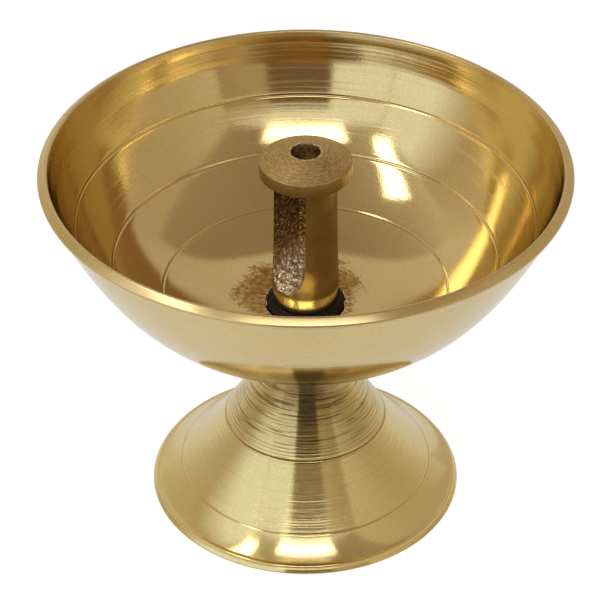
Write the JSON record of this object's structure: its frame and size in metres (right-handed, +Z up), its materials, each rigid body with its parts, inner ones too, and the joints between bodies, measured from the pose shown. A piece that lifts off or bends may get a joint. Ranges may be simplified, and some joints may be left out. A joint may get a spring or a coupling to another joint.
{
  "type": "pedestal oil lamp",
  "caption": "Round brass oil lamp: an open scored bowl on a hollow trumpet foot, with a slotted, flanged wick post screwed down in the middle of the bowl.",
  "frame": {"origin": "centre of the ring that the foot stands on", "axes": "+Z up along the lamp's turned axis; -Y is the side that the wick slot faces"},
  "size_m": [0.09, 0.09, 0.07],
  "materials": {
    "turned_brass": "turned and brushed, with fine lathe lines",
    "polished_brass": "polished, with fine turning lines and a satin lip",
    "post_brass": "dull, roughly turned casting",
    "black_rubber": "matt, oily",
    "zinc_steel": "zinc plated"
  },
  "bodies": {
    "lamp": {"foot": "turned_brass", "bowl": "polished_brass", "stud": "zinc_steel", "plain_washer": "zinc_steel", "spring_washer": "zinc_steel", "stud_nut": "zinc_steel"},
    "seal": {"post_seal": "black_rubber"},
    "post": {"wick_post": "post_brass"}
  },
  "joints": [
    {"name": "post_turn", "type": "hinge", "parent": "lamp", "child": "seal", "pos_m": [0, 0, 0.04], "axis": [0, 0, 1], "range_deg": [0, 1575]},
    {"name": "post_lift", "type": "slide", "parent": "seal", "child": "post", "axis": [0, 0, 1], "range_m": [0, 0.00351]}
  ],
  "couplings": [
    {"joint": "post_lift", "follows": "post_turn", "m_per_rad": 0.00012732}
  ]
}
